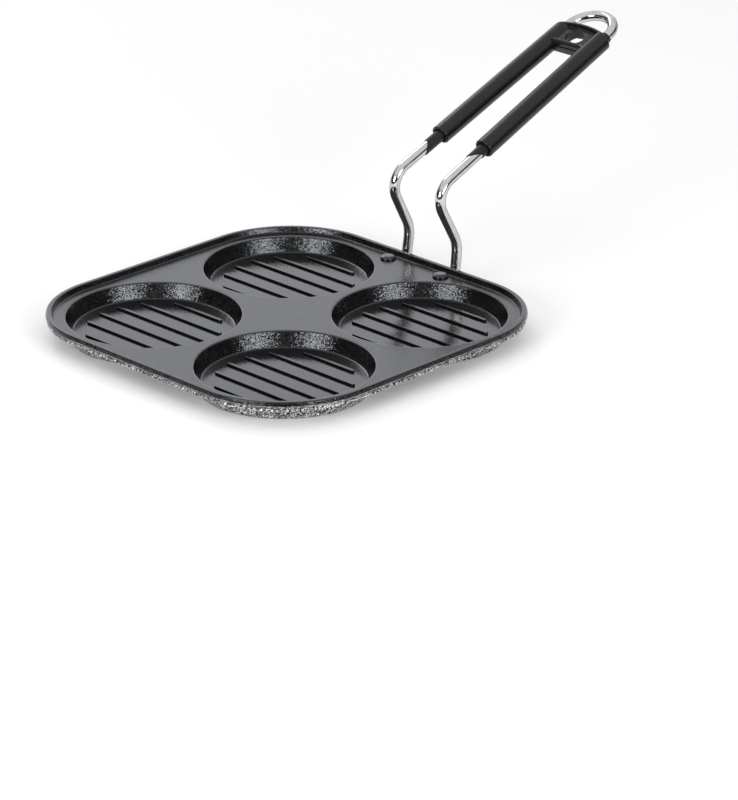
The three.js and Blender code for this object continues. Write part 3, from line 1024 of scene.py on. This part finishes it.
def place_camera():
    """A camera that sees the pan's middle, at the flange, at its place in the photograph."""
    back = towards(CAMERA_AZIMUTH, CAMERA_ELEVATION)
    right = towards(CAMERA_AZIMUTH + math.pi / 2, 0)
    up = back.cross(right)
    x = (PAN_PIXEL[0] - FRAME_WIDTH / 2) / FOCAL_PIXELS
    y = -(PAN_PIXEL[1] - FRAME_HEIGHT / 2) / FOCAL_PIXELS
    ray = (right * x + up * y - back).normalized()
    camera = bpy.data.objects.new("camera", bpy.data.cameras.new("camera"))
    bpy.context.scene.collection.objects.link(camera)
    camera.data.sensor_width = SENSOR
    camera.data.lens = FOCAL_PIXELS * SENSOR / FRAME_HEIGHT
    camera.location = PAN_MIDDLE + UP * FLANGE_TOP - ray * CAMERA_DISTANCE
    camera.rotation_euler = (math.pi / 2 - CAMERA_ELEVATION, 0, CAMERA_AZIMUTH)
    camera.data.clip_end = CLIP_END
    bpy.context.scene.camera = camera


def softbox(name, azimuth, elevation, distance, width, height, power):
    """An area lamp aimed at the pan. Its angles are in degrees, with azimuth counted from the camera's."""
    lamp = bpy.data.lights.new(name, "AREA")
    lamp.shape = "RECTANGLE"
    lamp.size = width
    lamp.size_y = height
    lamp.energy = power
    holder = bpy.data.objects.new(name, lamp)
    bpy.context.scene.collection.objects.link(holder)
    back = towards(CAMERA_AZIMUTH + math.radians(azimuth), math.radians(elevation))
    holder.location = PAN_MIDDLE + back * distance
    holder.rotation_euler = back.to_track_quat("Z", "Y").to_euler()


def light_room():
    """A bright backdrop and a dimmer ceiling, dark low at the front and sides, and white to the camera."""
    world = bpy.data.worlds.new("studio")
    bpy.context.scene.world = world
    world.use_nodes = True
    tree = world.node_tree
    tree.nodes.clear()
    direction = add(tree, "ShaderNodeTexCoord").outputs["Generated"]
    backdrop_middle = towards(CAMERA_AZIMUTH + math.pi, BACKDROP_RISE)
    facing = vectors(tree, "DOT_PRODUCT", direction, backdrop_middle, result="Value")
    backdrop = ramp(tree, facing, (0.5, 0.0), (0.84, 0.85), (0.96, (1.4, 1.42, 1.48)))
    ceiling = ramp(tree, height_of(tree, direction), (0.32, 0.03), (0.62, 0.9))
    level = vectors(tree, "MAXIMUM", backdrop, ceiling)
    path = add(tree, "ShaderNodeLightPath")
    room = add(tree, "ShaderNodeBackground", Color=level, Strength=1.0)
    white = add(tree, "ShaderNodeBackground", Color=(1, 1, 1, 1), Strength=1.0)
    mixed = add(tree, "ShaderNodeMixShader", _0=path.outputs["Is Camera Ray"])
    tree.links.new(room.outputs["Background"], mixed.inputs[1])
    tree.links.new(white.outputs["Background"], mixed.inputs[2])
    out = add(tree, "ShaderNodeOutputWorld")
    tree.links.new(mixed.outputs["Shader"], out.inputs["Surface"])


def lay_floor():
    """A pale floor that keeps the pan's shadow."""
    bpy.ops.object.select_all(action="DESELECT")
    bpy.ops.mesh.primitive_plane_add(size=FLOOR_SIZE, location=(0, 0, -FLOOR_DROP))
    floor = bpy.context.object
    floor.name = "floor"
    material, shader = new_finish(
        "pale_floor", Base_Color=(0.92, 0.92, 0.92, 1), Roughness=0.9, Specular_IOR_Level=0.0,
        Emission_Color=(1, 1, 1, 1),
    )
    tree = material.node_tree
    path = add(tree, "ShaderNodeLightPath")
    seen = add(
        tree, "ShaderNodeMath", {"operation": "MAXIMUM"},
        _0=path.outputs["Is Camera Ray"], _1=path.outputs["Is Glossy Ray"],
    ).outputs["Value"]
    glow = add(tree, "ShaderNodeMath", {"operation": "MULTIPLY"}, _0=seen, _1=FLOOR_GLOW)
    tree.links.new(glow.outputs["Value"], shader.inputs["Emission Strength"])
    floor.data.materials.append(material)


place_camera()
light_room()
lay_floor()
softbox("softbox_left", azimuth=-39, elevation=22, distance=1.6, width=0.75, height=0.5, power=11)
softbox("softbox_right", azimuth=37, elevation=22, distance=1.6, width=0.75, height=0.5, power=11)
softbox("back_strip", azimuth=-155, elevation=35, distance=1.8, width=0.45, height=1.0, power=4)

make_pan(coat_finish(), hammered_finish())
make_wire(bright_finish())
make_grip(moulding_finish())
make_sleeves(sleeve_finish())
make_rivets(rivet_finish())

bpy.context.scene.view_settings.view_transform = "Standard"
